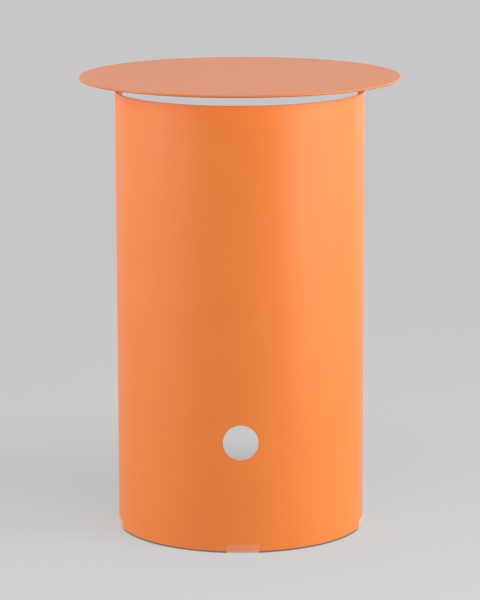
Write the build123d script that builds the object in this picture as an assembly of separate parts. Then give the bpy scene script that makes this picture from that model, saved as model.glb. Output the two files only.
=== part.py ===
from build123d import *

# Round sheet-steel side table.
#
# A thin round top plate floats a finger's width above a drum that is rolled from one
# sheet of steel.  The drum is open at the back: the sheet wraps 210 degrees round the
# front.  Its upper rim is cut lower than the top plate all the way round the front,
# which leaves a horizontal slit, and only the two rear ends of the sheet rise to the
# plate, as ears that are folded inwards into lugs.  The lugs hang on studs welded to
# the underside of the plate, and are held by washers and nuts.  A round hole low in the
# front takes a cable.  Slip-on clear plastic glides carry the bottom edge of the sheet.
#
# Frame: +Z up, origin on the floor under the centre of the top plate, front towards -Y.
# Millimetres.
import math
import os

os.makedirs("parts", exist_ok=True)

# ---------------------------------------------------------------- driving dimensions
HEIGHT = 500.0            # floor to upper face of the top plate
TOP_DIA = 350.0           # top plate
TOP_T = 2.5               # top plate thickness
TOP_EDGE_R = 0.7          # rounding of the top plate's edge

BODY_R = 136.0            # outer radius of the rolled drum
SHEET_T = 2.0             # drum sheet thickness
ARC_HALF = 105.2          # the sheet reaches this angle either side of the front
RIM_Z = 484.2             # upper rim of the drum round the front
EAR_FROM = 88.6           # angle from the front where the rim steps up to an ear
STEP_R = 4.0              # rounding at the foot of that step
FOOT_R = 6.0              # rounding of the sheet's two bottom rear corners
EDGE_R = 0.5              # rounding of cut sheet edges

LUG_LEN = 24.0            # from the outer face of the drum to the inner end of a lug
BEND_R = 2.0              # inside radius of the lug fold
LUG_CORNER_R = 5.0
LUG_HOLE_R = 3.0          # clearance hole in a lug
STUD_ON_R = 121.5         # radius from the drum's axis on which the studs stand
STUD_SPREAD = 4.6         # degrees either side of the middle of an ear

STUD_R = 2.45             # M5 weld stud
STUD_LEN = 9.2
STUD_FOOT_R = 2.9         # welded foot of the stud, inside the lug's hole
STUD_FOOT_T = 0.8
WASHER_R = 5.0
WASHER_BORE_R = 2.65
WASHER_T = 1.0
NUT_AF = 8.0              # across flats
NUT_H = 4.0
NUT_BORE_R = 2.5

HOLE_R = 19.0             # cable hole
HOLE_Z = 121.8

GLIDE_LEN = 35.0          # along the outer face of the sheet
GLIDE_H = 9.8             # overall height
GLIDE_BASE = 1.6          # thickness under the sheet
GLIDE_WALL = 1.5          # thickness of each leg
GLIDE_GAP = 0.05          # slip clearance each side of the sheet
GLIDE_CORNER_R = 1.6
GLIDE_ANGLES = {          # from the front, positive towards +X
    "glide_front": 0.8,
    "glide_right": 80.6,
    "glide_left": -81.2,
}

SHEET_Z0 = GLIDE_BASE     # the bottom edge of the sheet stands on the glides' bases
TOP_UNDER = HEIGHT - TOP_T
BODY_RI = BODY_R - SHEET_T
EAR_MID = (EAR_FROM + ARC_HALF) / 2


def at(angle, radius, z=0.0):
    """Point at an angle from the front (-Y), positive towards +X."""
    a = math.radians(angle)
    return Vector(radius * math.sin(a), -radius * math.cos(a), z)


def angle_of(v):
    return math.degrees(math.atan2(v.X, -v.Y))


def radius_of(v):
    return math.hypot(v.X, v.Y)


def sector(profile, a0, a1):
    """Revolve a profile on the XZ half plane about Z, from angle a0 to a1 from the front."""
    return Rot(0, 0, a0 - 90) * revolve(profile, axis=Axis.Z, revolution_arc=a1 - a0)


def ring_profile(r0, r1, z0, z1):
    return make_face(Polyline((r0, 0, z0), (r1, 0, z0), (r1, 0, z1), (r0, 0, z1), (r0, 0, z0)))


def round_edges(solid, picked, radius, label):
    """Fillet the picked edges together, or one by one where the kernel can't."""
    picked = list(picked)
    try:
        out = fillet(picked, radius)
        if out.is_valid:
            return out
    except Exception:
        pass
    print("one by one:", label, len(picked))
    out = solid
    for e in picked:
        c = e.center()
        match = [x for x in out.edges() if (x.center() - c).length < 0.7 * radius and abs(x.length - e.length) < 4 * radius]
        if not match:
            continue
        try:
            trial = fillet(match[:1], radius)
            if trial.is_valid:
                out = trial
            else:
                print("  left sharp:", tuple(round(v, 1) for v in c), round(e.length, 1))
        except Exception:
            print("  left sharp:", tuple(round(v, 1) for v in c), round(e.length, 1))
    return out


# ---------------------------------------------------------------- drum
fold_ro = BEND_R + SHEET_T
fold_z = TOP_UNDER - fold_ro
fold_r = BODY_R - fold_ro
s45 = math.sqrt(0.5)

blank_profile = make_face(
    [
        Line((BODY_R, 0, SHEET_Z0), (BODY_R, 0, fold_z)),
        ThreePointArc(
            (BODY_R, 0, fold_z),
            (fold_r + fold_ro * s45, 0, fold_z + fold_ro * s45),
            (fold_r, 0, TOP_UNDER),
        ),
        Line((fold_r, 0, TOP_UNDER), (BODY_R - LUG_LEN, 0, TOP_UNDER)),
        Line((BODY_R - LUG_LEN, 0, TOP_UNDER), (BODY_R - LUG_LEN, 0, TOP_UNDER - SHEET_T)),
        Line((BODY_R - LUG_LEN, 0, TOP_UNDER - SHEET_T), (fold_r, 0, TOP_UNDER - SHEET_T)),
        ThreePointArc(
            (fold_r, 0, TOP_UNDER - SHEET_T),
            (fold_r + BEND_R * s45, 0, fold_z + BEND_R * s45),
            (BODY_RI, 0, fold_z),
        ),
        Line((BODY_RI, 0, fold_z), (BODY_RI, 0, SHEET_Z0)),
        Line((BODY_RI, 0, SHEET_Z0), (BODY_R, 0, SHEET_Z0)),
    ]
)
drum = sector(blank_profile, -ARC_HALF, ARC_HALF)

# the slit: everything above the rim is cut away round the front, between the ears
slit = sector(ring_profile(BODY_R - LUG_LEN - 8, BODY_R + 8, RIM_Z, HEIGHT + 10), -EAR_FROM, EAR_FROM)
slit = fillet(
    [e for e in slit.edges() if e.geom_type == GeomType.LINE and abs(e.center().Z - RIM_Z) < 0.01],
    STEP_R,
)
drum = drum - slit

# rounded corners: the inner ends of the lugs, and the sheet's two bottom rear corners
lug_corners = [
    e
    for e in drum.edges()
    if abs(e.center().Z - (TOP_UNDER - SHEET_T / 2)) < 0.05
    and abs(e.length - SHEET_T) < 0.05
    and radius_of(e.center()) < BODY_R - LUG_LEN + 0.5
]
foot_corners = [
    e
    for e in drum.edges()
    if abs(e.center().Z - SHEET_Z0) < 0.01
    and abs(e.length - SHEET_T) < 0.05
    and abs(abs(angle_of(e.center())) - ARC_HALF) < 0.1
]
print("lug corners", len(lug_corners), "foot corners", len(foot_corners))
drum = fillet(lug_corners, LUG_CORNER_R)
foot_corners = [
    e
    for e in drum.edges()
    if abs(e.center().Z - SHEET_Z0) < 0.01
    and abs(e.length - SHEET_T) < 0.05
    and abs(abs(angle_of(e.center())) - ARC_HALF) < 0.1
]
drum = fillet(foot_corners, FOOT_R)

# every cut edge that lies on the inner or the outer face of the sheet is broken
def outline_edge(e):
    pts = [e.position_at(t) for t in (0.02, 0.25, 0.5, 0.75, 0.98)]
    radii = [radius_of(p) for p in pts]
    on_face = all(abs(r - BODY_R) < 0.02 for r in radii) or all(abs(r - BODY_RI) < 0.02 for r in radii)
    on_fold_line = all(abs(p.Z - fold_z) < 0.02 for p in pts)
    return on_face and not on_fold_line


drum = round_edges(drum, [e for e in drum.edges() if outline_edge(e)], EDGE_R, "sheet outline")

# cable hole
drum = drum - Pos(0, -BODY_R, HOLE_Z) * Rot(90, 0, 0) * Cylinder(HOLE_R, 40)
hole_edges = [
    e
    for e in drum.edges()
    if e.position_at(0.3).Y < -100
    and abs(math.hypot(e.position_at(0.3).X, e.position_at(0.3).Z - HOLE_Z) - HOLE_R) < 0.02
    and abs(math.hypot(e.position_at(0.7).X, e.position_at(0.7).Z - HOLE_Z) - HOLE_R) < 0.02
    and e.length > 20
]
print("hole edges", len(hole_edges))
drum = round_edges(drum, hole_edges, EDGE_R, "cable hole")

# stud holes in the lugs
stud_angles = [side * (EAR_MID + d) for side in (-1, 1) for d in (-STUD_SPREAD, STUD_SPREAD)]
for a in stud_angles:
    drum = drum - Pos(*at(a, STUD_ON_R, TOP_UNDER)) * Cylinder(LUG_HOLE_R, 12)

# ---------------------------------------------------------------- top plate
top = Pos(0, 0, TOP_UNDER + TOP_T / 2) * Cylinder(TOP_DIA / 2, TOP_T)
top = fillet(top.edges().filter_by(GeomType.CIRCLE), TOP_EDGE_R)

# ---------------------------------------------------------------- studs, washers, nuts
studs, washers, nuts = [], [], []
washer_z = TOP_UNDER - SHEET_T - WASHER_T
for a in stud_angles:
    foot = at(a, STUD_ON_R)
    shank = Pos(foot.X, foot.Y, TOP_UNDER - STUD_LEN / 2) * Cylinder(STUD_R, STUD_LEN)
    shank = chamfer(shank.faces().sort_by(Axis.Z)[0].edges(), 0.5)
    weld = Pos(foot.X, foot.Y, TOP_UNDER - STUD_FOOT_T / 2) * Cylinder(STUD_FOOT_R, STUD_FOOT_T)
    studs.append(shank + weld)

    disc = Pos(foot.X, foot.Y, washer_z + WASHER_T / 2) * Cylinder(WASHER_R, WASHER_T)
    disc = chamfer(disc.edges().filter_by(GeomType.CIRCLE), 0.15)
    washers.append(disc - Pos(foot.X, foot.Y, washer_z) * Cylinder(WASHER_BORE_R, 6))

    hexagon = extrude(RegularPolygon(NUT_AF / 2, 6, major_radius=False), NUT_H)
    blank = Pos(0, 0, NUT_H / 2) * Cylinder(NUT_AF / math.sqrt(3), NUT_H)
    blank = chamfer(blank.edges().filter_by(GeomType.CIRCLE), 0.4)
    nut = (hexagon & blank) - Pos(0, 0, NUT_H / 2) * Cylinder(NUT_BORE_R, NUT_H * 2)
    nuts.append(Pos(foot.X, foot.Y, washer_z - NUT_H) * Rot(0, 0, 2.3 * a) * nut)

# ---------------------------------------------------------------- glides
glide_half = math.degrees(GLIDE_LEN / 2 / BODY_R)
glide_ro = BODY_R + GLIDE_GAP + GLIDE_WALL
glide_ri = BODY_RI - GLIDE_GAP - GLIDE_WALL


def glide(angle):
    """A slip-on channel: a base under the sheet and a leg up each side of it."""
    a0, a1 = angle - glide_half, angle + glide_half
    block = sector(ring_profile(glide_ri, glide_ro, 0, GLIDE_H), a0, a1)
    upper = [
        e
        for e in block.edges()
        if e.geom_type == GeomType.LINE and abs(e.center().Z - GLIDE_H) < 0.01
    ]
    block = fillet(upper, GLIDE_CORNER_R)
    outer = [
        e
        for e in block.edges()
        if any(
            all(abs(radius_of(e.position_at(t)) - r) < 0.02 for t in (0.05, 0.5, 0.95))
            for r in (glide_ro, glide_ri)
        )
    ]
    block = round_edges(block, outer, 0.45, "glide")
    slot = sector(
        ring_profile(BODY_RI - GLIDE_GAP, BODY_R + GLIDE_GAP, GLIDE_BASE, GLIDE_H + 2), a0 - 2, a1 + 2
    )
    return block - slot


# ---------------------------------------------------------------- write
def save(name, solids):
    out = solids[0] if len(solids) == 1 else Compound(list(solids))
    out.label = name
    export_step(out, f"parts/{name}.step")
    print(name, len(solids), [round(s.volume, 1) for s in solids], all(s.is_valid for s in solids))


save("table_top", top.solids())
save("drum", drum.solids())
save("top_studs", [x.solids()[0] for x in studs])
save("washers", [x.solids()[0] for x in washers])
save("nuts", [x.solids()[0] for x in nuts])
for name, angle in GLIDE_ANGLES.items():
    save(name, glide(angle).solids())
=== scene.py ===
import math

import bpy
import numpy as np
from mathutils import Matrix, Vector
from mathutils.geometry import delaunay_2d_cdt


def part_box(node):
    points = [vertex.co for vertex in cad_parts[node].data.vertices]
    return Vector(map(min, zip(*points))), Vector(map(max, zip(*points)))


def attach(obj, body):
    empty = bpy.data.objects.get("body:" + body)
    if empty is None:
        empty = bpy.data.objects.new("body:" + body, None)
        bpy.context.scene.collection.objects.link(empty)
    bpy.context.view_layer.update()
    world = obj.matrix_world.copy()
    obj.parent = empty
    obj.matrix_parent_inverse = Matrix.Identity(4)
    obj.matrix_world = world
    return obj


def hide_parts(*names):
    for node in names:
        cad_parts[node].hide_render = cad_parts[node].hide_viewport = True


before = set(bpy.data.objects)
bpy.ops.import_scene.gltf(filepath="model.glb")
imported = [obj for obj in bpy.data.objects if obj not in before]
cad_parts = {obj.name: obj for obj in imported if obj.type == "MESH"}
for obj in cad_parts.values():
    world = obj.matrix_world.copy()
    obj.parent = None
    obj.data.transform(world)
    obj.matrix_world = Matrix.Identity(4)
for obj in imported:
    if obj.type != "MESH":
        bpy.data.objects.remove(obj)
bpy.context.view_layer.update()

MM = 0.001
scene = bpy.context.scene


# ---------------------------------------------------------------- sizes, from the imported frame
top_lo, top_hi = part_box("table_top")
drum_lo, drum_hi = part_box("drum")
glide_lo, glide_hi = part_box("glide_front")
wash_lo, wash_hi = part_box("washers")
nut_lo, nut_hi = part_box("nuts")
stud_lo, stud_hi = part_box("top_studs")

TOP_R = round((top_hi.x - top_lo.x) / 2, 5)
TOP_Z = top_hi.z
TOP_UNDER = top_lo.z
TOP_EDGE = 0.7 * MM

BODY_R = round((drum_hi.x - drum_lo.x) / 2, 5)
SHEET = 2.0 * MM
SHEET_Z0 = drum_lo.z
RIM_Z = 484.2 * MM
ARC_HALF = 105.2
EAR_FROM = 88.6
STEP_R = 4.0 * MM
FOOT_R = 6.0 * MM
LUG_CORNER = 5.0 * MM
LUG_END_R = 112.0 * MM
LUG_HOLE_R = 3.0 * MM
STUD_ON_R = 121.5 * MM
STUD_SPREAD = 4.6
EDGE_R = 0.5 * MM
FOLD_RO = 4.0 * MM
FOLD_Z = TOP_UNDER - FOLD_RO
FOLD_R = BODY_R - FOLD_RO
V1 = FOLD_Z + FOLD_RO * math.pi / 2
V_END = V1 + (FOLD_R - LUG_END_R)
HOLE_R = 19.0 * MM
HOLE_Z = 121.8 * MM
EAR_MID = (EAR_FROM + ARC_HALF) / 2


# ---------------------------------------------------------------- mesh helpers
def new_object(name, verts, faces, normals=None, smooth=True):
    mesh = bpy.data.meshes.new(name)
    mesh.from_pydata([tuple(v) for v in verts], [], faces)
    mesh.validate(clean_customdata=False)
    mesh.update()
    if smooth:
        mesh.polygons.foreach_set("use_smooth", [True] * len(mesh.polygons))
    if normals is not None and len(mesh.vertices) == len(normals):
        mesh.normals_split_custom_set_from_vertices([tuple(n) for n in normals])
    obj = bpy.data.objects.new(name, mesh)
    scene.collection.objects.link(obj)
    return obj


def lathe(name, profile, steps, closed_axis=True):
    """Turn a profile of (r, z, nr, nz) about Z. Points with r = 0 become one vertex."""
    verts, normals, faces, rings = [], [], [], []
    for r, z, nr, nz in profile:
        if r < 1e-9:
            rings.append([len(verts)])
            verts.append((0.0, 0.0, z))
            normals.append((0.0, 0.0, math.copysign(1.0, nz)))
        else:
            ring = []
            for k in range(steps):
                a = 2 * math.pi * k / steps
                c, s = math.cos(a), math.sin(a)
                ring.append(len(verts))
                verts.append((r * c, r * s, z))
                normals.append((nr * c, nr * s, nz))
            rings.append(ring)
    for A, B in zip(rings[:-1], rings[1:]):
        for k in range(steps):
            j = (k + 1) % steps
            if len(A) == 1:
                faces.append((A[0], B[k], B[j]))
            elif len(B) == 1:
                faces.append((A[k], B[0], A[j]))
            else:
                faces.append((A[k], B[k], B[j], A[j]))
    return new_object(name, verts, faces, normals)


# ---------------------------------------------------------------- top plate
def build_top():
    e, R, zt, zb = TOP_EDGE, TOP_R, TOP_Z, TOP_UNDER
    prof = [(0.0, zt, 0, 1)]
    for r in (0.02, 0.05, 0.08, 0.11, 0.14, 0.16, 0.17, R - 3 * e, R - 1.6 * e):
        prof.append((r, zt, 0, 1))
    n = 8
    for k in range(n + 1):
        a = math.pi / 2 * (1 - k / n)
        prof.append((R - e + e * math.cos(a), zt - e + e * math.sin(a), math.cos(a), math.sin(a)))
    for k in range(n + 1):
        a = -math.pi / 2 * k / n
        prof.append((R - e + e * math.cos(a), zb + e + e * math.sin(a), math.cos(a), math.sin(a)))
    for r in (R - 1.6 * e, R - 3 * e, 0.17, 0.16, 0.14, 0.11, 0.08, 0.05, 0.02):
        prof.append((r, zb, 0, -1))
    prof.append((0.0, zb, 0, -1))
    return lathe("top_plate", prof, 360)


# ---------------------------------------------------------------- drum: one sheet, laid out flat and then rolled
def place(a, v, d):
    """Where the flat sheet's point (a degrees round, v up) at depth d lies once the sheet is rolled and folded, and its outward normal."""
    t = math.radians(a)
    if v <= FOLD_Z:
        r, z, nr, nz = BODY_R - d, v, 1.0, 0.0
    elif v <= V1:
        f = (v - FOLD_Z) / FOLD_RO
        r, z = FOLD_R + (FOLD_RO - d) * math.cos(f), FOLD_Z + (FOLD_RO - d) * math.sin(f)
        nr, nz = math.cos(f), math.sin(f)
    else:
        r, z, nr, nz = FOLD_R - (v - V1), TOP_UNDER - d, 0.0, 1.0
    s, c = math.sin(t), -math.cos(t)
    return Vector((r * s, r * c, z)), Vector((nr * s, nr * c, nz))


def local_r(v):
    """Radius at which a step round the sheet is measured, at height v of the flat sheet."""
    if v <= FOLD_Z:
        return BODY_R
    if v <= V1:
        return FOLD_R + FOLD_RO * math.cos((v - FOLD_Z) / FOLD_RO)
    return FOLD_R - (v - V1)


def corner(a, v, r, a_sign, v_sign, start, n=10):
    """Points of a rounded corner at (a, v): the centre lies a_sign, v_sign from it. start is the angle of the first point, going counter-clockwise for a convex corner."""
    rr = local_r(v - 0 * r)
    ca, cv = a + math.degrees(a_sign * r / rr), v + v_sign * r
    pts = []
    for k in range(n + 1):
        f = start + math.pi / 2 * k / n
        pts.append((ca + math.degrees(r * math.cos(f) / rr), cv + r * math.sin(f)))
    return pts


def corner_in(a, v, r, a_sign, v_sign, start, n=10):
    rr = local_r(v)
    ca, cv = a + math.degrees(a_sign * r / rr), v + v_sign * r
    pts = []
    for k in range(n + 1):
        f = start - math.pi / 2 * k / n
        pts.append((ca + math.degrees(r * math.cos(f) / rr), cv + r * math.sin(f)))
    return pts


def run(p, q, step):
    """Points strictly between p and q at about this many metres apart."""
    rr = (local_r(p[1]) + local_r(q[1])) / 2
    length = math.hypot(math.radians(q[0] - p[0]) * rr, q[1] - p[1])
    n = max(1, int(round(length / step)))
    return [(p[0] + (q[0] - p[0]) * k / n, p[1] + (q[1] - p[1]) * k / n) for k in range(1, n)]


def up_run(a, v0, v1, down=False):
    """Points strictly between two heights along one edge of the sheet, closer together round the fold."""
    marks = [v0]
    for lo, hi, step in ((v0, min(v1, FOLD_Z - 2 * MM), 8 * MM), (FOLD_Z - 2 * MM, FOLD_Z, 1 * MM), (FOLD_Z, V1, 0.6 * MM), (V1, V1 + 2 * MM, 1 * MM), (V1 + 2 * MM, v1, 3 * MM)):
        lo, hi = max(lo, v0), min(hi, v1)
        if hi - lo < 1e-6:
            continue
        n = max(1, int(round((hi - lo) / step)))
        marks += [lo + (hi - lo) * k / n for k in range(1, n + 1)]
    marks = [m for m in marks if v0 + 1e-7 < m < v1 - 1e-7]
    if down:
        marks = marks[::-1]
    return [(a, m) for m in marks]


def outline():
    """The flat sheet's outline, counter-clockwise, as (a, v)."""
    A, E = ARC_HALF, EAR_FROM
    h = math.pi / 2
    c1 = corner(-A, SHEET_Z0, FOOT_R, 1, 1, math.pi)            # bottom left
    c2 = corner(A, SHEET_Z0, FOOT_R, -1, 1, -h)                 # bottom right
    c3 = corner(A, V_END, LUG_CORNER, -1, -1, 0)                # right lug, rear
    c4 = corner(E, V_END, LUG_CORNER, 1, -1, h)                 # right lug, front
    c5 = corner_in(E, RIM_Z, STEP_R, -1, 1, 0)                  # right end of the slit
    c6 = corner_in(-E, RIM_Z, STEP_R, 1, 1, -h)                 # left end of the slit
    c7 = corner(-E, V_END, LUG_CORNER, -1, -1, 0)               # left lug, front
    c8 = corner(-A, V_END, LUG_CORNER, 1, -1, h)                # left lug, rear
    pts = []
    pts += c1 + run(c1[-1], c2[0], 3.5 * MM)
    pts += c2 + up_run(A, c2[-1][1], c3[0][1])
    pts += c3 + run(c3[-1], c4[0], 2.5 * MM)
    pts += c4 + up_run(E, c5[0][1], c4[-1][1], down=True)
    pts += c5 + run(c5[-1], c6[0], 3.5 * MM)
    pts += c6 + up_run(-E, c6[-1][1], c7[0][1])
    pts += c7 + run(c7[-1], c8[0], 2.5 * MM)
    pts += c8 + up_run(-A, c1[0][1], c8[-1][1], down=True)
    out = []
    for p in pts:
        if not out or math.hypot(math.radians(p[0] - out[-1][0]) * BODY_R, p[1] - out[-1][1]) > 1e-6:
            out.append(p)
    return out


def loop_normals(loop):
    """Unit vector pointing out of the sheet in the flat plane, at each point of a counter-clockwise outline."""
    n = len(loop)
    res = []
    for i in range(n):
        p, q, s = loop[i - 1], loop[(i + 1) % n], loop[i]
        rr = local_r(s[1])
        def seg(u, w):
            return np.array([math.radians(w[0] - u[0]) * rr, w[1] - u[1]])
        e1, e2 = seg(p, s), seg(s, q)
        e1, e2 = e1 / np.linalg.norm(e1), e2 / np.linalg.norm(e2)
        t = e1 + e2
        t /= np.linalg.norm(t)
        res.append(np.array([t[1], -t[0]]))
    return res


# how a cut edge runs from the outer face to the inner one: (distance in from the outline, depth, outward share, face share)
def edge_profile(n=5):
    e, t = EDGE_R, SHEET
    rows = []
    for k in range(n + 1):
        f = math.pi / 2 * k / n
        rows.append((e * (1 - math.sin(f)), e * (1 - math.cos(f)), math.sin(f), math.cos(f)))
    for k in range(n + 1):
        f = math.pi / 2 * k / n
        rows.append((e * (1 - math.cos(f)), t - e * (1 - math.sin(f)), math.cos(f), -math.sin(f)))
    return rows


def build_drum():
    verts, normals, faces = [], [], []

    def add(pos, nor):
        verts.append(pos)
        normals.append(nor.normalized())
        return len(verts) - 1

    rows = edge_profile()
    loop = outline()
    out_n = loop_normals(loop)
    rims = []      # one list of vertex rows for each outline
    flat_loops = []  # the outer and inner boundary of each, in flat coordinates

    # the sheet's own outline
    ribbons = []
    for off, depth, o, f in rows:
        row = []
        for (a, v), nn in zip(loop, out_n):
            rr = local_r(v)
            a2, v2 = a - math.degrees(nn[0] * off / rr), v - nn[1] * off
            pos, sn = place(a2, v2, depth)
            ahead, _ = place(a2 + math.degrees(nn[0] * 1e-4 / rr), v2 + nn[1] * 1e-4, depth)
            tangent = (ahead - pos).normalized()
            row.append(add(pos, sn * f + tangent * o))
        ribbons.append(row)
    rims.append(ribbons)
    off = EDGE_R
    flat_loops.append([(a - math.degrees(nn[0] * off / local_r(v)), v - nn[1] * off) for (a, v), nn in zip(loop, out_n)])

    # the cable hole, cut straight through along Y
    n = 96
    ribbons = []
    for off, depth, o, f in rows:
        row = []
        for k in range(n):
            ph = -2 * math.pi * k / n
            x, z = (HOLE_R + off) * math.cos(ph), HOLE_Z + (HOLE_R + off) * math.sin(ph)
            r = BODY_R - depth
            a = math.degrees(math.asin(x / r))
            pos, sn = place(a, z, depth)
            row.append(add(pos, sn * f + Vector((-math.cos(ph), 0, -math.sin(ph))) * o))
        ribbons.append(row)
    rims.append(ribbons)
    hole_flat = []
    for depth in (0.0, SHEET):
        ring = []
        for k in range(n):
            ph = -2 * math.pi * k / n
            x, z = (HOLE_R + EDGE_R) * math.cos(ph), HOLE_Z + (HOLE_R + EDGE_R) * math.sin(ph)
            ring.append((math.degrees(math.asin(x / (BODY_R - depth))), z))
        hole_flat.append(ring)
    flat_loops.append(hole_flat[0])

    # stud holes in the lugs
    n = 32
    for side in (-1, 1):
        for d in (-STUD_SPREAD, STUD_SPREAD):
            ang = math.radians(side * (EAR_MID + d))
            cx, cy = STUD_ON_R * math.sin(ang), -STUD_ON_R * math.cos(ang)
            ribbons = []
            for off, depth, o, f in rows:
                off, o2 = off * 0.5, o
                row = []
                for k in range(n):
                    # seen from above the lug, the flat sheet is mirrored where it is folded over
                    ph = 2 * math.pi * k / n
                    x, y = cx + (LUG_HOLE_R + off) * math.cos(ph), cy + (LUG_HOLE_R + off) * math.sin(ph)
                    pos = Vector((x, y, TOP_UNDER - depth))
                    row.append(add(pos, Vector((-math.cos(ph) * o2, -math.sin(ph) * o2, f))))
                ribbons.append(row)
            ring = []
            for k in range(n):
                ph = 2 * math.pi * k / n
                rad = LUG_HOLE_R + EDGE_R * 0.5
                x, y = cx + rad * math.cos(ph), cy + rad * math.sin(ph)
                ring.append((math.degrees(math.atan2(x, -y)), V1 + FOLD_R - math.hypot(x, y)))
            # the flat outline of a hole runs clockwise
            area = sum(ring[i - 1][0] * ring[i][1] - ring[i][0] * ring[i - 1][1] for i in range(n))
            if area > 0:
                ring = ring[::-1]
                ribbons = [r[::-1] for r in ribbons]
            rims.append(ribbons)
            flat_loops.append(ring)

    # ribbons: quads from the outer face round to the inner one
    for ribbons in rims:
        for A, B in zip(ribbons[:-1], ribbons[1:]):
            m = len(A)
            for k in range(m):
                j = (k + 1) % m
                faces.append((A[k], B[k], B[j], A[j]))

    # inner points of both faces, on a regular grid
    def clear(a, v, margin):
        if abs(a) > ARC_HALF - math.degrees(margin / BODY_R) or v < SHEET_Z0 + margin:
            return False
        if abs(a) < EAR_FROM + math.degrees(margin / BODY_R):
            if v > RIM_Z - margin:
                return False
            if abs(a) > EAR_FROM - math.degrees((STEP_R + margin) / BODY_R) and v > RIM_Z - margin:
                return False
        if v > V_END - margin:
            return False
        x = BODY_R * math.sin(math.radians(a))
        if abs(a) < 30 and math.hypot(x, v - HOLE_Z) < HOLE_R + EDGE_R + margin:
            return False
        if v > V1:
            r = FOLD_R - (v - V1)
            for side in (-1, 1):
                for d in (-STUD_SPREAD, STUD_SPREAD):
                    t = math.radians(side * (EAR_MID + d) - a)
                    if math.sqrt(r * r + STUD_ON_R ** 2 - 2 * r * STUD_ON_R * math.cos(t)) < LUG_HOLE_R + margin:
                        return False
            for aa in (EAR_FROM, ARC_HALF):
                da = math.radians(abs(abs(a) - aa)) * r
                dv = V_END - v
                if da < LUG_CORNER and dv < LUG_CORNER and math.hypot(LUG_CORNER - da, LUG_CORNER - dv) > LUG_CORNER - margin:
                    return False
        for sgn in (-1, 1):
            da = math.radians(abs(a - sgn * ARC_HALF)) * BODY_R
            dv = v - SHEET_Z0
            if da < FOOT_R and dv < FOOT_R and math.hypot(FOOT_R - da, FOOT_R - dv) > FOOT_R - margin:
                return False
        return True

    cols = [math.degrees(k * 3.5 * MM / BODY_R) for k in range(-75, 76)]
    vs = [SHEET_Z0 + 3 * MM + k * 9.0 * MM for k in range(0, 56)]
    vs = [v for v in vs if v < FOLD_Z - 3 * MM]
    vs += list(np.linspace(FOLD_Z - 2 * MM, FOLD_Z, 3)) + list(np.linspace(FOLD_Z, V1, 11)[1:]) + list(np.linspace(V1, V_END, 9)[1:])
    grid = [(a, v) for a in cols for v in vs if clear(a, v, 1.6 * MM)]
    # rings that keep the surface even round the cable hole
    for k2, rad in enumerate((HOLE_R + 2.6 * MM, HOLE_R + 5.2 * MM)):
        m = 72
        grid = [(a, v) for a, v in grid if not (abs(a) < 30 and math.hypot(BODY_R * math.sin(math.radians(a)), v - HOLE_Z) < rad + 1.6 * MM)]
        for k in range(m):
            ph = 2 * math.pi * (k + 0.5 * k2) / m
            x, z = rad * math.cos(ph), HOLE_Z + rad * math.sin(ph)
            grid.append((math.degrees(math.asin(x / BODY_R)), z))
    extra = []
    keep = grid

    for depth, which in ((0.0, 0), (SHEET, -1)):
        flat, index, edges = [], [], []
        for li, ribbons in enumerate(rims):
            base = len(flat)
            ring = flat_loops[li]
            if li == 1 and which == -1:
                ring = hole_flat[1]
            ids = ribbons[which]
            for p, vi in zip(ring, ids):
                flat.append(Vector((math.radians(p[0]) * BODY_R * 1000, p[1] * 1000)))
                index.append(vi)
            m = len(ring)
            edges += [(base + k, base + (k + 1) % m) for k in range(m)]
        for a, v in keep:
            flat.append(Vector((math.radians(a) * BODY_R * 1000, v * 1000)))
            pos, sn = place(a, v, depth)
            index.append(add(pos, sn if which == 0 else -sn))
        out = delaunay_2d_cdt(flat, edges, [], 1, 1e-6)
        vo, _, tri, orig_v = out[0], out[1], out[2], out[3]
        back = [o[0] if o else None for o in orig_v]
        for t in tri:
            if any(back[i] is None for i in t):
                continue
            cx = sum(vo[i].x for i in t) / 3
            cy = sum(vo[i].y for i in t) / 3
            # leave out what lies inside a hole
            inside = False
            hx = BODY_R * 1000 * math.sin(cx / (BODY_R * 1000))
            if abs(cx) < 60 and math.hypot(hx * (1 if which == 0 else (BODY_R - SHEET) / BODY_R), cy - HOLE_Z * 1000) < (HOLE_R + EDGE_R) * 1000 * 0.999:
                inside = True
            if cy > V1 * 1000:
                r = (FOLD_R * 1000 - (cy - V1 * 1000))
                ang = cx / (BODY_R * 1000)
                px, py = r * math.sin(ang), -r * math.cos(ang)
                for side in (-1, 1):
                    for d in (-STUD_SPREAD, STUD_SPREAD):
                        t0 = math.radians(side * (EAR_MID + d))
                        if math.hypot(px - STUD_ON_R * 1000 * math.sin(t0), py + STUD_ON_R * 1000 * math.cos(t0)) < (LUG_HOLE_R + EDGE_R * 0.5) * 1000 * 0.995:
                            inside = True
            if inside:
                continue
            ids = [index[back[i]] for i in t]
            area = (vo[t[1]].x - vo[t[0]].x) * (vo[t[2]].y - vo[t[0]].y) - (vo[t[2]].x - vo[t[0]].x) * (vo[t[1]].y - vo[t[0]].y)
            if (area < 0) == (which == 0):
                ids = ids[::-1]
            faces.append(tuple(ids))
    return new_object("drum_sheet", verts, faces, normals)


# ---------------------------------------------------------------- materials
def material(name):
    m = bpy.data.materials.new(name)
    m.use_nodes = True
    nt = m.node_tree
    bsdf = next(n for n in nt.nodes if n.type == "BSDF_PRINCIPLED")
    return m, nt, bsdf


def noise(nt, scale, detail, coord, rough=0.5):
    n = nt.nodes.new("ShaderNodeTexNoise")
    n.inputs["Scale"].default_value = scale
    n.inputs["Detail"].default_value = detail
    n.inputs["Roughness"].default_value = rough
    nt.links.new(coord, n.inputs["Vector"])
    return n.outputs["Fac"]


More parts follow.
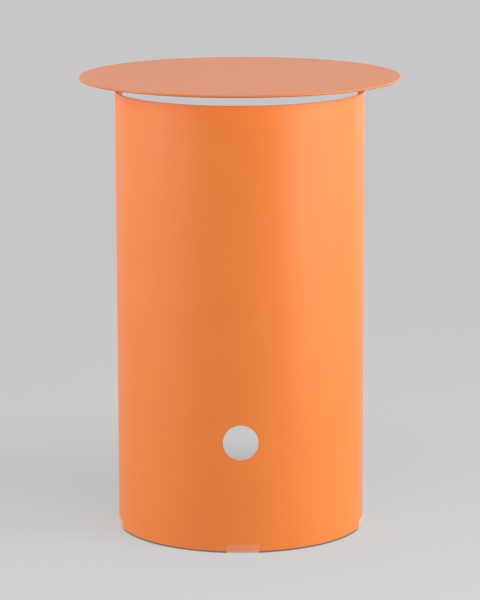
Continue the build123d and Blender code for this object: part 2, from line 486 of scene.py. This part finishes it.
def remap(nt, value, lo, hi, a=0.0, b=1.0):
    n = nt.nodes.new("ShaderNodeMapRange")
    n.inputs["From Min"].default_value = a
    n.inputs["From Max"].default_value = b
    n.inputs["To Min"].default_value = lo
    n.inputs["To Max"].default_value = hi
    nt.links.new(value, n.inputs["Value"])
    return n.outputs["Result"]


def smooth_step(nt, value, lo, hi):
    n = nt.nodes.new("ShaderNodeMapRange")
    n.interpolation_type = "SMOOTHSTEP"
    n.inputs["From Min"].default_value = lo
    n.inputs["From Max"].default_value = hi
    nt.links.new(value, n.inputs["Value"])
    return n.outputs["Result"]


def powder_coat(name, arris=None):
    """Satin orange coat; arris = (radius, z) of a sheet's lower outer corner, where painted shade darkens the colour.
    """
    m, nt, b = material(name)
    tc = nt.nodes.new("ShaderNodeTexCoord")
    co = tc.outputs["Object"]
    # colour: a hardly visible cloudiness from the film's thickness
    ramp = nt.nodes.new("ShaderNodeValToRGB")
    ramp.color_ramp.elements[0].position = 0.3
    ramp.color_ramp.elements[0].color = (0.853, 0.210, 0.0272, 1)
    ramp.color_ramp.elements[1].position = 0.7
    ramp.color_ramp.elements[1].color = (0.885, 0.2205, 0.0302, 1)
    nt.links.new(noise(nt, 14.0, 3.0, co), ramp.inputs["Fac"])
    colour = ramp.outputs["Color"]
    # painted shade: the lower outer arris is darkened in the colour itself, standing in for the shade that falls on the
    # edge's downward-facing rounding
    if arris:
        xyz = nt.nodes.new("ShaderNodeSeparateXYZ")
        nt.links.new(co, xyz.inputs[0])
        flat = nt.nodes.new("ShaderNodeVectorMath")
        flat.operation = "MULTIPLY"
        flat.inputs[1].default_value = (1, 1, 0)
        nt.links.new(co, flat.inputs[0])
        out = nt.nodes.new("ShaderNodeVectorMath")
        out.operation = "LENGTH"
        nt.links.new(flat.outputs[0], out.inputs[0])
        low = smooth_step(nt, xyz.outputs["Z"], arris[1] + 0.0014, arris[1] + 0.0008)
        rim = smooth_step(nt, out.outputs["Value"], arris[0] - 0.0012, arris[0] - 0.0004)
        arris_shade_mask = nt.nodes.new("ShaderNodeMath")
        arris_shade_mask.operation = "MULTIPLY"
        nt.links.new(low, arris_shade_mask.inputs[0])
        nt.links.new(rim, arris_shade_mask.inputs[1])
        arris_shade = nt.nodes.new("ShaderNodeMix")
        arris_shade.data_type = "RGBA"
        arris_shade.inputs["B"].default_value = (0.46, 0.125, 0.035, 1)
        nt.links.new(arris_shade_mask.outputs[0], arris_shade.inputs["Factor"])
        nt.links.new(colour, arris_shade.inputs["A"])
        colour = arris_shade.outputs["Result"]
    nt.links.new(colour, b.inputs["Base Color"])
    # roughness: satin, a little uneven
    nt.links.new(remap(nt, noise(nt, 420.0, 3.0, co), 0.36, 0.44), b.inputs["Roughness"])
    b.inputs["IOR"].default_value = 1.5
    # orange peel: shallow swells a millimetre or two across, and finer grain on them
    peel = noise(nt, 620.0, 2.0, co, 0.45)
    grain = noise(nt, 2600.0, 1.0, co)
    b1 = nt.nodes.new("ShaderNodeBump")
    b1.inputs["Strength"].default_value = 0.12
    b1.inputs["Distance"].default_value = 0.00008
    nt.links.new(peel, b1.inputs["Height"])
    b2 = nt.nodes.new("ShaderNodeBump")
    b2.inputs["Strength"].default_value = 0.06
    b2.inputs["Distance"].default_value = 0.00003
    nt.links.new(grain, b2.inputs["Height"])
    nt.links.new(b1.outputs["Normal"], b2.inputs["Normal"])
    nt.links.new(b2.outputs["Normal"], b.inputs["Normal"])
    return m


def clear_plastic():
    """Clear moulded plastic: nearly all light goes straight through, a little haze shows its body, and it mirrors at a glancing angle."""
    m, nt, b = material("clear_glide_plastic")
    tc = nt.nodes.new("ShaderNodeTexCoord")
    co = tc.outputs["Object"]
    ramp = nt.nodes.new("ShaderNodeValToRGB")
    ramp.color_ramp.elements[0].color = (0.88, 0.83, 0.82, 1)
    ramp.color_ramp.elements[1].color = (0.92, 0.88, 0.87, 1)
    nt.links.new(noise(nt, 180.0, 3.0, co), ramp.inputs["Fac"])
    nt.links.new(ramp.outputs["Color"], b.inputs["Base Color"])
    nt.links.new(remap(nt, noise(nt, 700.0, 2.0, co), 0.16, 0.26), b.inputs["Roughness"])
    b.inputs["IOR"].default_value = 1.47
    facing = nt.nodes.new("ShaderNodeLayerWeight")
    facing.inputs["Blend"].default_value = 0.32
    seen = remap(nt, facing.outputs["Fresnel"], 0.045, 0.34)
    path = nt.nodes.new("ShaderNodeLightPath")
    through = nt.nodes.new("ShaderNodeMix")
    through.data_type = "FLOAT"
    through.inputs["B"].default_value = 0.05
    nt.links.new(path.outputs["Is Shadow Ray"], through.inputs["Factor"])
    nt.links.new(seen, through.inputs["A"])
    nt.links.new(through.outputs["Result"], b.inputs["Alpha"])
    return m


def metal(name, dark, light, rough_lo, rough_hi):
    m, nt, b = material(name)
    tc = nt.nodes.new("ShaderNodeTexCoord")
    co = tc.outputs["Object"]
    ramp = nt.nodes.new("ShaderNodeValToRGB")
    ramp.color_ramp.elements[0].position = 0.35
    ramp.color_ramp.elements[0].color = (*dark, 1)
    ramp.color_ramp.elements[1].position = 0.7
    ramp.color_ramp.elements[1].color = (*light, 1)
    nt.links.new(noise(nt, 320.0, 4.0, co), ramp.inputs["Fac"])
    nt.links.new(ramp.outputs["Color"], b.inputs["Base Color"])
    b.inputs["Metallic"].default_value = 1.0
    nt.links.new(remap(nt, noise(nt, 900.0, 3.0, co), rough_lo, rough_hi), b.inputs["Roughness"])
    bump = nt.nodes.new("ShaderNodeBump")
    bump.inputs["Strength"].default_value = 0.2
    bump.inputs["Distance"].default_value = 0.00004
    nt.links.new(noise(nt, 1500.0, 2.0, co), bump.inputs["Height"])
    nt.links.new(bump.outputs["Normal"], b.inputs["Normal"])
    return m


def dress(obj, mat):
    obj.data.materials.clear()
    obj.data.materials.append(mat)


COAT = powder_coat("orange_powder_coat")
# the top plate's copy of the coat, with painted shade on its lower arris
TOP_COAT = powder_coat("orange_powder_coat_top_arris_shade", (TOP_R, TOP_UNDER))
CLEAR = clear_plastic()
ZINC = metal("bright_zinc", (0.50, 0.51, 0.53), (0.68, 0.69, 0.70), 0.26, 0.42)
COPPER = metal("copper_flash", (0.45, 0.26, 0.17), (0.66, 0.42, 0.30), 0.32, 0.5)

top = build_top()
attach(top, "root")
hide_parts("table_top")
dress(top, TOP_COAT)

drum = build_drum()
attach(drum, "root")
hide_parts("drum")
dress(drum, COAT)

for name, mat in (("glide_front", CLEAR), ("glide_right", CLEAR), ("glide_left", CLEAR), ("top_studs", COPPER), ("washers", ZINC), ("nuts", ZINC)):
    dress(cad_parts[name], mat)


# ---------------------------------------------------------------- floor and backdrop: one seamless bowl
def build_studio():
    floor_r, bend, top_z = 5.2, 2.6, 5.5
    prof = [(0.0, 0.0, 0, 1)]
    for r in (0.5, 1.0, 2.0, 3.0, 4.0, floor_r):
        prof.append((r, 0.0, 0, 1))
    n = 16
    for k in range(1, n + 1):
        f = math.pi / 2 * k / n
        prof.append((floor_r + bend * math.sin(f), bend * (1 - math.cos(f)), -math.sin(f), math.cos(f)))
    prof.append((floor_r + bend, top_z, -1, 0))
    obj = lathe("studio_floor", prof, 128)
    m, nt, b = material("pale_floor")
    tc = nt.nodes.new("ShaderNodeTexCoord")
    co = tc.outputs["Object"]

    def math_node(op, one, two=None):
        n = nt.nodes.new("ShaderNodeMath")
        n.operation = op
        for socket, value in zip(n.inputs, (one, two)):
            if isinstance(value, (int, float)):
                socket.default_value = value
            elif value is not None:
                nt.links.new(value, socket)
        return n.outputs[0]

    def smooth(value, lo, hi):
        return smooth_step(nt, value, lo, hi)

    xyz = nt.nodes.new("ShaderNodeSeparateXYZ")
    nt.links.new(co, xyz.inputs[0])
    dist = nt.nodes.new("ShaderNodeVectorMath")
    dist.operation = "LENGTH"
    nt.links.new(co, dist.inputs[0])
    r = dist.outputs["Value"]
    # pale grey paint, a touch cooler close to the object, which answers the warm light that the object throws on it
    near = nt.nodes.new("ShaderNodeValToRGB")
    near.color_ramp.elements[0].position = 0.12
    near.color_ramp.elements[0].color = (0.196, 0.230, 0.237, 1)
    near.color_ramp.elements[1].position = 0.75
    near.color_ramp.elements[1].color = (0.226, 0.229, 0.229, 1)
    nt.links.new(r, near.inputs["Fac"])
    mottle = nt.nodes.new("ShaderNodeMix")
    mottle.data_type = "RGBA"
    mottle.blend_type = "MULTIPLY"
    mottle.inputs["Factor"].default_value = 1.0
    grey = nt.nodes.new("ShaderNodeValToRGB")
    grey.color_ramp.elements[0].color = (0.985, 0.985, 0.985, 1)
    grey.color_ramp.elements[1].color = (1.0, 1.0, 1.0, 1)
    nt.links.new(noise(nt, 0.7, 2.0, co), grey.inputs["Fac"])
    nt.links.new(near.outputs["Color"], mottle.inputs["A"])
    nt.links.new(grey.outputs["Color"], mottle.inputs["B"])
    nt.links.new(mottle.outputs["Result"], b.inputs["Base Color"])
    b.inputs["Roughness"].default_value = 0.85
    b.inputs["Specular IOR Level"].default_value = 0.1
    # a studio table that glows a little from below, a little less towards the back and a little more far out; its glow
    # is cut in a thin ring right under the sheet's edge as painted contact shadow, less so where the glides stand
    b.inputs["Emission Color"].default_value = (1, 1, 1, 1)
    # painted contact shadow: a ring of dimmed glow just inside and under the sheet's edge, only along the sheet's arc
    ring = math_node("MULTIPLY", smooth(r, BODY_R - 0.009, BODY_R - 0.005), smooth(r, BODY_R + 0.0010, BODY_R - 0.0015))
    front = math_node("DIVIDE", math_node("MULTIPLY", xyz.outputs["Y"], -1.0), r)
    edge = math.cos(math.radians(ARC_HALF))
    ring = math_node("MULTIPLY", ring, smooth(front, edge - 0.03, edge + 0.01))
    for node in ("glide_front", "glide_right", "glide_left"):
        lo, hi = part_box(node)
        mid = (lo + hi) / 2
        gap = nt.nodes.new("ShaderNodeVectorMath")
        gap.operation = "DISTANCE"
        gap.inputs[1].default_value = (mid.x, mid.y, 0.0)
        nt.links.new(co, gap.inputs[0])
        ring = math_node("MULTIPLY", ring, math_node("ADD", 0.25, math_node("MULTIPLY", smooth(gap.outputs["Value"], 0.0165, 0.0180), 0.75)))
    back = math_node("SUBTRACT", smooth(xyz.outputs["Y"], -0.45, 0.30), smooth(xyz.outputs["Y"], 1.2, 4.5))
    glow = math_node("SUBTRACT", math_node("ADD", 0.438, math_node("MULTIPLY", smooth(r, 3.0, 7.8), 0.016)), math_node("MULTIPLY", back, 0.024))
    glow = math_node("MULTIPLY", glow, math_node("SUBTRACT", 1.0, math_node("MULTIPLY", ring, 0.80)))
    # and less glows inside the drum and just behind its opening, where the table shades the floor
    behind = math_node("MULTIPLY", smooth(r, 0.42, 0.10), smooth(math_node("ABSOLUTE", xyz.outputs["X"]), 0.13, 0.02))
    behind = math_node("MULTIPLY", behind, smooth(xyz.outputs["Y"], -0.12, 0.02))
    within = math_node("MULTIPLY", smooth(r, BODY_R - 0.002, BODY_R - 0.012), smooth(xyz.outputs["Y"], 0.045, -0.08))
    lit = math_node("MULTIPLY", math_node("SUBTRACT", 1.0, behind), math_node("SUBTRACT", 1.0, within))
    glow = math_node("MULTIPLY", glow, math_node("ADD", 0.5, math_node("MULTIPLY", lit, 0.5)))
    nt.links.new(glow, b.inputs["Emission Strength"])
    dress(obj, m)
    return obj


floor = build_studio()

# which lamps reach the object and which reach the floor
on_object = bpy.data.collections.new("lamps_on_object")
for o in [top, drum] + list(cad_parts.values()):
    on_object.objects.link(o)
on_floor = bpy.data.collections.new("lamps_on_floor")
on_floor.objects.link(floor)


def panel(name, around, distance, z, width, height, power, reach, aim=None):
    """A soft box at an angle round the object (0 in front, + to the right). It stands upright and faces the object, or looks down at aim."""
    L = bpy.data.lights.new(name, "AREA")
    L.shape = "RECTANGLE"
    L.size = width
    L.size_y = height
    L.energy = power
    o = bpy.data.objects.new(name, L)
    t = math.radians(around)
    o.location = (distance * math.sin(t), -distance * math.cos(t), z)
    way = Vector(aim) - o.location if aim else Vector((-o.location.x, -o.location.y, 0))
    o.rotation_euler = way.to_track_quat("-Z", "Y").to_euler()
    o.visible_camera = False
    o.light_linking.receiver_collection = reach
    scene.collection.objects.link(o)
    return o


panel("right_front", 55, 1.7, 0.72, 0.74, 1.4, 10.2, on_object)
panel("right_front_high", 55, 1.7, 1.15, 0.74, 0.6, 1.6, on_object)
panel("right_side", 80, 1.7, 0.72, 0.74, 1.4, 8.0, on_object)
panel("right_side_high", 80, 1.7, 1.15, 0.74, 0.6, 9.0, on_object)
panel("right_back", 105, 1.7, 0.72, 0.74, 1.4, 3.2, on_object)
panel("right_rear", 138, 1.7, 0.72, 0.74, 1.4, 1.5, on_object)
panel("left_front", -55, 1.7, 0.72, 0.74, 1.4, 4.5, on_object)
panel("left_side", -80, 1.7, 0.72, 0.74, 1.4, 5.8, on_object)
panel("left_side_high", -80, 1.7, 1.15, 0.74, 0.6, 5.8, on_object)
panel("left_back", -105, 1.7, 0.72, 0.74, 1.4, 2.0, on_object)
panel("left_rear", -135, 1.7, 0.72, 0.74, 1.4, 0.9, on_object)
panel("rear_low", 180, 4.5, 0.75, 5.0, 1.4, 3.6, on_object)
panel("rear_high", 180, 4.5, 2.1, 5.0, 1.2, 11.1, on_object)
panel("rear_right", 150, 3.5, 0.75, 2.2, 1.4, 6.8, on_object)
panel("rear_left", -150, 3.5, 0.75, 2.2, 1.4, 1.5, on_object)
# a flat beam that lifts the band just under the top's overhang
on_drum = bpy.data.collections.new("lamps_on_drum")
on_drum.objects.link(drum)
beam = bpy.data.lights.new("under_rim_beam", "SPOT")
beam.energy = 15.0
beam.spot_size = math.radians(2.25)
beam.spot_blend = 1.0
beam.shadow_soft_size = 0.01
kicker = bpy.data.objects.new("under_rim_beam", beam)
kicker.location = (1.5 * math.sin(math.radians(22)), -1.5 * math.cos(math.radians(22)), RIM_Z + 0.004)
kicker.rotation_euler = Vector((-kicker.location.x, -kicker.location.y, 0)).to_track_quat("-Z", "Y").to_euler()
kicker.scale = (12.0, 1.0, 1.0)
kicker.visible_camera = False
kicker.visible_glossy = False
kicker.light_linking.receiver_collection = on_drum
scene.collection.objects.link(kicker)
ORIGIN = (0, 0, 0)
panel("floor_right_top", 60, 1.1, 2.4, 0.6, 0.6, 9.4, on_floor, ORIGIN)
panel("floor_right", 60, 1.7, 1.9, 0.6, 0.6, 6.5, on_floor, ORIGIN)
panel("floor_right_low", 60, 2.1, 1.2, 0.6, 0.6, 3.7, on_floor, ORIGIN)
panel("floor_mid_top", 30, 1.1, 2.4, 0.6, 0.6, 6.6, on_floor, ORIGIN)
panel("floor_mid", 30, 1.7, 1.9, 0.6, 0.6, 2.1, on_floor, ORIGIN)
panel("floor_front_top", 0, 1.15, 2.35, 0.6, 0.6, 6.6, on_floor, ORIGIN)

world = bpy.data.worlds.new("studio")
world.use_nodes = True
bg = world.node_tree.nodes["Background"]
bg.inputs["Color"].default_value = (1, 1, 1, 1)
bg.inputs["Strength"].default_value = 0.415
scene.world = world
scene.view_settings.view_transform = "Standard"
scene.view_settings.look = "None"
scene.view_settings.exposure = 0.0
scene.view_settings.gamma = 1.0

# ---------------------------------------------------------------- camera
cam_data = bpy.data.cameras.new("camera")
cam_data.sensor_width = 36.0
cam_data.sensor_fit = "AUTO"
cam_data.lens = 3040.8 / 600.0 * 36.0
cam_data.clip_start = 0.05
cam_data.clip_end = 60.0
cam = bpy.data.objects.new("camera", cam_data)
pitch, roll = 11.1725, -0.1437
cam.matrix_world = (
    Matrix.Translation((-0.0005, -3.2921, 0.9010))
    @ Matrix.Rotation(math.radians(90 - pitch), 4, "X")
    @ Matrix.Rotation(math.radians(roll), 4, "Z")
)
scene.collection.objects.link(cam)
scene.camera = cam
